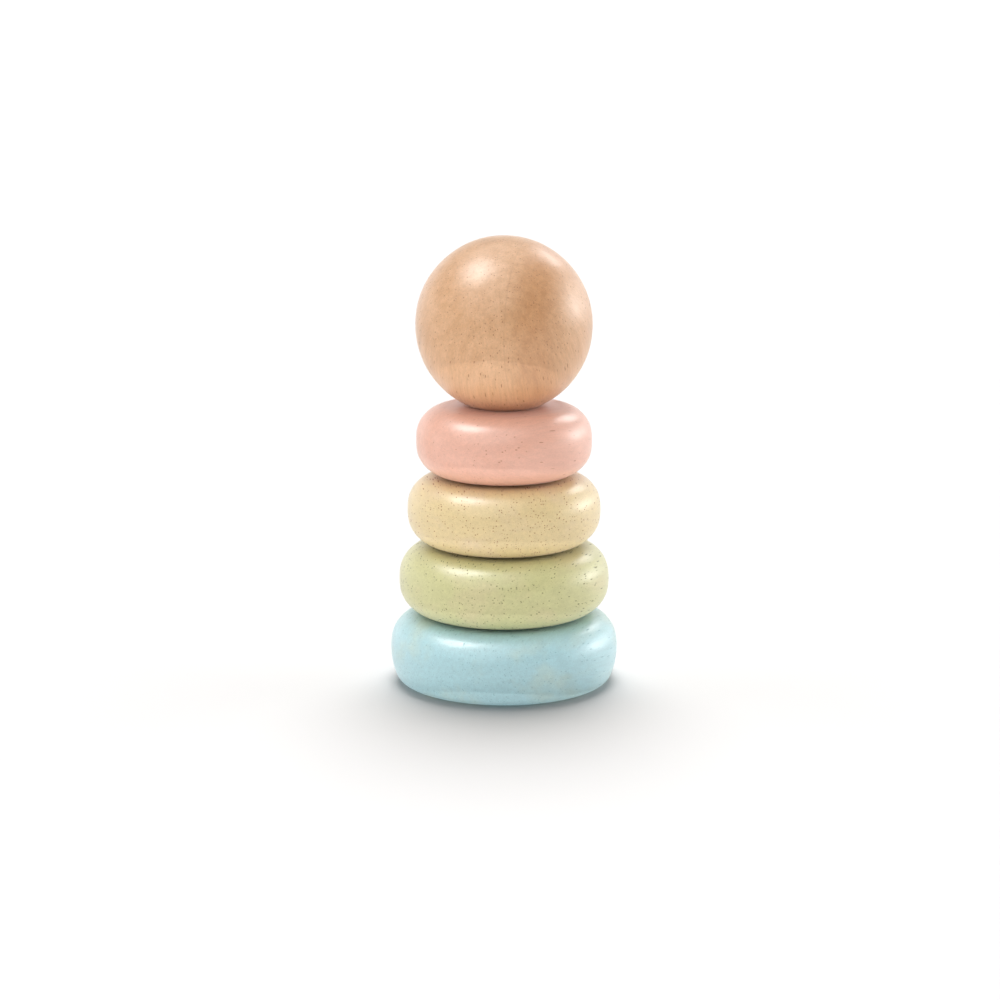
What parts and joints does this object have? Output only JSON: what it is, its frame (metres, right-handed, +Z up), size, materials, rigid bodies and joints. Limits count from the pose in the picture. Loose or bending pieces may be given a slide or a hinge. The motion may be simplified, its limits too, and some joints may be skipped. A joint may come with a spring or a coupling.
{
  "type": "stacking ring toy",
  "caption": "Wooden stacking toy: a painted base with a glued-in peg, painted rings of falling diameter that lift off it, and a plain wooden ball as the cap.",
  "frame": {"origin": "centre of the base's flat underside, on the peg's axis", "axes": "+Z up along the peg; the toy is round about Z, so X and Y have no natural direction"},
  "size_m": [0.091, 0.091, 0.1791],
  "materials": {
    "blue_paint": "satin pale blue water-based stain over hardwood, pores showing faintly",
    "green_paint": "satin pale green water-based stain over hardwood, dark pores showing",
    "yellow_paint": "satin pale yellow water-based stain over hardwood, brown pores showing",
    "pink_paint": "satin pale pink water-based stain over hardwood, fine grain lines showing",
    "plain_wood": "clear satin lacquer over pale straight-grained hardwood"
  },
  "bodies": {
    "base": {"base": "blue_paint", "peg": "plain_wood"},
    "green_ring": {"green_ring": "green_paint"},
    "yellow_ring": {"yellow_ring": "yellow_paint"},
    "pink_ring": {"pink_ring": "pink_paint"},
    "ball": {"ball": "plain_wood"}
  },
  "joints": [
    {"name": "green_ring_lift", "type": "slide", "parent": "base", "child": "green_ring", "axis": [0, 0, 1], "range_m": [0, 0.118]},
    {"name": "yellow_ring_lift", "type": "slide", "parent": "green_ring", "child": "yellow_ring", "axis": [0, 0, 1], "range_m": [0, 0.09]},
    {"name": "pink_ring_lift", "type": "slide", "parent": "yellow_ring", "child": "pink_ring", "axis": [0, 0, 1], "range_m": [0, 0.062]},
    {"name": "ball_lift", "type": "slide", "parent": "pink_ring", "child": "ball", "axis": [0, 0, 1], "range_m": [0, 0.034]}
  ]
}
